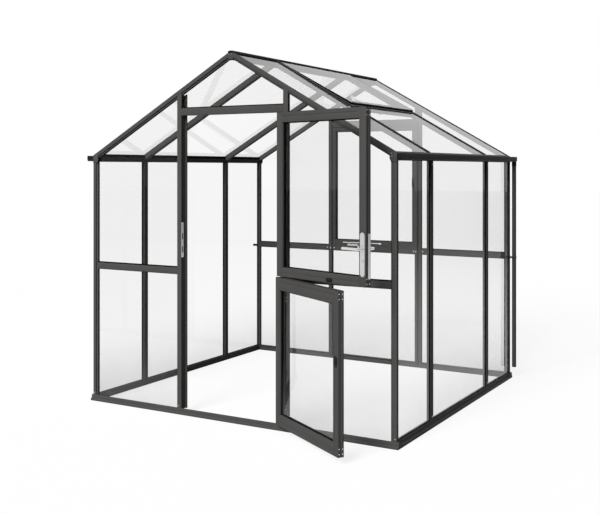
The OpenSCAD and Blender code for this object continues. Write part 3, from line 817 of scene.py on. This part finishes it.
# ---------------------------------------------------------------- strike plate
LATCH_POCKET_Z, BOLT_POCKET_Z = 1.176, 1.09     # middles of the strike plate's two openings
bm = bmesh.new()
strike_low, strike_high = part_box("strike_plate")
for z in (strike_low.z + 10 * MM, strike_high.z - 10 * MM, (LATCH_POCKET_Z + BOLT_POCKET_Z) / 2):
    screw(bm, (strike_high.x, (strike_low.y + strike_high.y) / 2, z), (1, 0, 0), 3.2 * MM, 1 * MM)
piece("strike_screws", bm, ZINC, "greenhouse")
# painted shade: thin black sheets behind the strike plate's two openings stand for the dark pockets
# behind them
bm = bmesh.new()
for z in (BOLT_POCKET_Z, LATCH_POCKET_Z):
    slab(bm, (strike_low.x + 0.1 * MM, 7.2 * MM, z - 19.5 * MM),
         (strike_low.x + 0.5 * MM, 17.8 * MM, z + 19.5 * MM), 0.1 * MM)
piece("strike_pocket_shade", bm, RUBBER, "greenhouse")


# ---------------------------------------------------------------- door leaves, drawn closed
UPPER = swing_of("upper_leaf_hinge")
LOWER = swing_of("lower_leaf_hinge")


def leaf_trim(name, swing):
    """Glazing rubber, edge screws and hinge screws of a leaf."""
    glass_lo, glass_hi = closed_box(name + "_glass", swing)
    stile_lo, stile_hi = closed_box(name + "_stiles", swing)
    bm = bmesh.new()
    outline = rectangle(glass_lo.x, glass_lo.z, glass_hi.x, glass_hi.z)
    section = [(0, 0), (0, 6 * MM), (2.5 * MM, 6 * MM), (6 * MM, 1.6 * MM), (6 * MM, 0)]
    moulding(bm, outline, section, on_wall(glass_lo.y, -1))
    moulding(bm, outline, section, on_wall(glass_hi.y, 1))
    for y in (stile_lo.y + 4 * MM, stile_hi.y - 4 * MM):
        slab(bm, (stile_lo.x + 2 * MM, y - 1.5 * MM, stile_hi.z),
             (stile_hi.x - 2 * MM, y + 1.5 * MM, stile_hi.z + 1.2 * MM), 0.4 * MM)
    piece(name + "_gaskets", bm, RUBBER, name, swing)
    bm = bmesh.new()
    mid = (stile_lo.y + stile_hi.y) / 2
    for z in (stile_lo.z + 18 * MM, stile_lo.z + 46 * MM,
              stile_hi.z - 18 * MM, stile_hi.z - 46 * MM):
        screw(bm, (stile_lo.x, mid - 11 * MM, z), (-1, 0, 0), 3.2 * MM, 1.2 * MM)
        screw(bm, (stile_lo.x, mid + 11 * MM, z), (-1, 0, 0), 3.2 * MM, 1.2 * MM)
    hinge_lo, hinge_hi = closed_box(name + "_hinges", swing)
    for low in (hinge_lo.z, hinge_hi.z - 40 * MM):
        for up in (9 * MM, 31 * MM):
            for x in (hinge_lo.x + 8 * MM, hinge_lo.x + 22 * MM):
                screw(bm, (x, hinge_lo.y + 4 * MM, low + up), (0, -1, 0), 3 * MM, 1 * MM)
    piece(name + "_screws", bm, ZINC, name, swing)
    return stile_lo, stile_hi


upper_lo, upper_hi = leaf_trim("upper_leaf", UPPER)
lower_lo, lower_hi = leaf_trim("lower_leaf", LOWER)
plate_lo, plate_hi = closed_box("lock_plates", UPPER)
lever_pos = UPPER.inverted() @ Vector(JOINTS["lever_turn"]["pos_m"])
LOCK_X = lever_pos.x
LEVER_Z = lever_pos.z

# the lock's faceplate, latch and bolt on the free edge
FACE_LOW, FACE_HIGH = 1.010, 1.262      # ends of the faceplate
BOLT_LOW, BOLT_HIGH = 1.074, 1.104      # ends of the bolt
CYLINDER_Z = 1.106
bm = bmesh.new()
edge = upper_lo.x
face_out = edge - 1.4 * MM              # the faceplate's outer side
slab(bm, (face_out, upper_lo.y + 2 * MM, FACE_LOW),
     (edge - 0.1 * MM, upper_lo.y + 22 * MM, FACE_HIGH))
latch = [(0, 6), (-3.4, 7), (-3.4, 12), (0, 18)]
ends = [[(face_out + x * MM, upper_lo.y + y * MM, z) for x, y in latch]
        for z in (LEVER_Z - 15 * MM, LEVER_Z + 15 * MM)]
prism(bm, *ends)
slab(bm, (edge - 3.2 * MM, upper_lo.y + 7 * MM, BOLT_LOW),
     (face_out, upper_lo.y + 17 * MM, BOLT_HIGH))
for z in (FACE_LOW + 8 * MM, FACE_HIGH - 8 * MM):
    screw(bm, (face_out, upper_lo.y + 12 * MM, z), (-1, 0, 0), 3 * MM, 0.8 * MM)
piece("lock_faceplate", bm, STEEL, "upper_leaf", UPPER)

# cylinders and plate screws
CYLINDER_ENDS = ((plate_lo.y, -1, 14 * MM), (plate_hi.y, 1, 5 * MM))    # plate, way out, reach
bm = bmesh.new()
for y, out, reach in CYLINDER_ENDS:
    stadium(bm, (LOCK_X, y, CYLINDER_Z), (0, out, 0), 8.5 * MM, 17 * MM,
            [(1, 0), (1, reach - 1 * MM), (0.92, reach)])
    for z in (plate_lo.z + 12 * MM, plate_hi.z - 12 * MM):
        screw(bm, (LOCK_X, y, z), (0, out, 0), 3.6 * MM, 1.2 * MM)
piece("lock_cylinder", bm, STEEL, "upper_leaf", UPPER)
# painted shade: thin black slips on the cylinders' faces stand for the dark slot of the keyway
bm = bmesh.new()
for y, out, reach in CYLINDER_ENDS:
    y0, y1 = sorted((y + out * reach, y + out * (reach + 0.15 * MM)))
    slab(bm, (LOCK_X - 0.7 * MM, y0, CYLINDER_Z + 2 * MM),
         (LOCK_X + 0.7 * MM, y1, CYLINDER_Z + 11 * MM), 0.05 * MM)
piece("painted_keyhole_shade", bm, RUBBER, "upper_leaf", UPPER)

# the catch on the upper leaf's bottom rail and the knob on the lower leaf
INWARD = (0, 1, 0)
KNOB_Z = 0.567                          # the knob's middle
CATCH_X = -86 * MM                      # the catch's middle, with the door closed
bm = bmesh.new()
catch = bmesh.new()
stadium(catch, (0, 0, 0), INWARD, 12 * MM, 27 * MM,
        [(1, 0), (1, 3.4 * MM), (0.86, 6 * MM), (0.5, 8 * MM)])
catch_place = Matrix.Translation((CATCH_X, upper_hi.y, upper_lo.z + 17.5 * MM))
bmesh.ops.transform(catch, verts=catch.verts,
                    matrix=catch_place @ Matrix.Rotation(math.radians(90), 4, "Y"))
join(bm, catch)
piece("leaf_catch", bm, PLASTIC, "upper_leaf", UPPER)
bm = bmesh.new()
stile_mid = lower_lo.x + 26 * MM
stadium(bm, (stile_mid, lower_hi.y, KNOB_Z), INWARD, 19 * MM, 31 * MM,
        [(1, 0), (1, 3 * MM), (0.85, 5.5 * MM), (0.5, 7 * MM)])
stadium(bm, (stile_mid, lower_hi.y, KNOB_Z), INWARD, 7 * MM, 17 * MM,
        [(1, 6 * MM), (1, 9 * MM), (0.8, 10.5 * MM)])
piece("leaf_knob", bm, PLASTIC, "lower_leaf", LOWER)

# screws of the hinges' fixed halves
bm = bmesh.new()
pin_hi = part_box("door_hinge_pins")[1]
knuckle_tops = [upper_lo.z + 130 * MM, upper_hi.z - 130 * MM,
                lower_lo.z + 120 * MM, lower_hi.z - 120 * MM]
for top in knuckle_tops:
    for up in (-31 * MM, -9 * MM):
        for x in (pin_hi.x - 7 * MM, pin_hi.x - 20 * MM):
            screw(bm, (x, -3 * MM, top + up), (0, -1, 0), 3 * MM, 1 * MM)
piece("hinge_screws", bm, ZINC, "greenhouse")
